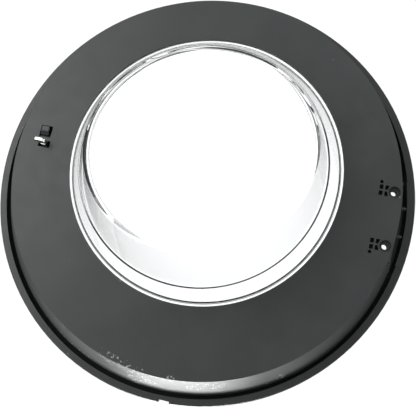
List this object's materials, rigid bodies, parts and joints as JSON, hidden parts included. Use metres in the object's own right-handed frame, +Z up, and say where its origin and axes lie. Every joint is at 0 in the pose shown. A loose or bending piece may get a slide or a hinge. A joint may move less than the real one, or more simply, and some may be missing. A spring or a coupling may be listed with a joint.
{
  "type": "washing machine door",
  "caption": "Round front-loading washer door with a tilted glass bowl, a dark two-part frame, a sprung latch hook and a hinge seat.",
  "frame": {"origin": "midway between the two hinge screw holes, on the seat plane that the hinge leaf is clamped to", "axes": "+X from the latch side to the hinge side, +Y from the bowl side to the user side and normal to the hinge seat, +Z up with the door hung"},
  "size_m": [0.47, 0.1706, 0.4699],
  "materials": {
    "dark_plastic": "fine satin grain",
    "black_plastic": "satin",
    "gloss_black": "gloss",
    "light_plastic": "satin",
    "clear_plastic": "clear gloss",
    "clear_glass": "polished",
    "rubber": "matt",
    "bright_trim": "polished",
    "zinc": "bright zinc plate",
    "hook_zinc": "polished plate",
    "spring_steel": "drawn wire"
  },
  "bodies": {
    "door": {"inner_frame": "dark_plastic", "outer_frame": "dark_plastic", "glass_bowl": "clear_glass", "glass_seal": "rubber", "retainer_ring": "light_plastic", "retainer_screws": "zinc", "window_cover": "clear_plastic", "window_seal": "rubber", "window_bezel": "bright_trim", "frame_screws": "zinc", "hinge_plate": "zinc", "latch_housing": "black_plastic", "latch_pin": "zinc", "pin_clip": "zinc", "latch_spring": "spring_steel", "latch_screws": "zinc", "guide_peg": "gloss_black", "handle_grip": "black_plastic", "handle_screws": "zinc"},
    "hook": {"latch_hook": "hook_zinc"}
  },
  "joints": [
    {"name": "latch_pivot", "type": "hinge", "parent": "door", "child": "hook", "pos_m": [-0.3815, -0.001, 0.0078], "axis": [0, 0, 1], "range_deg": [0, 8], "stiffness_Nm_per_rad": 0.25, "springref_deg": -20.05, "deforming": ["latch_spring"]}
  ]
}
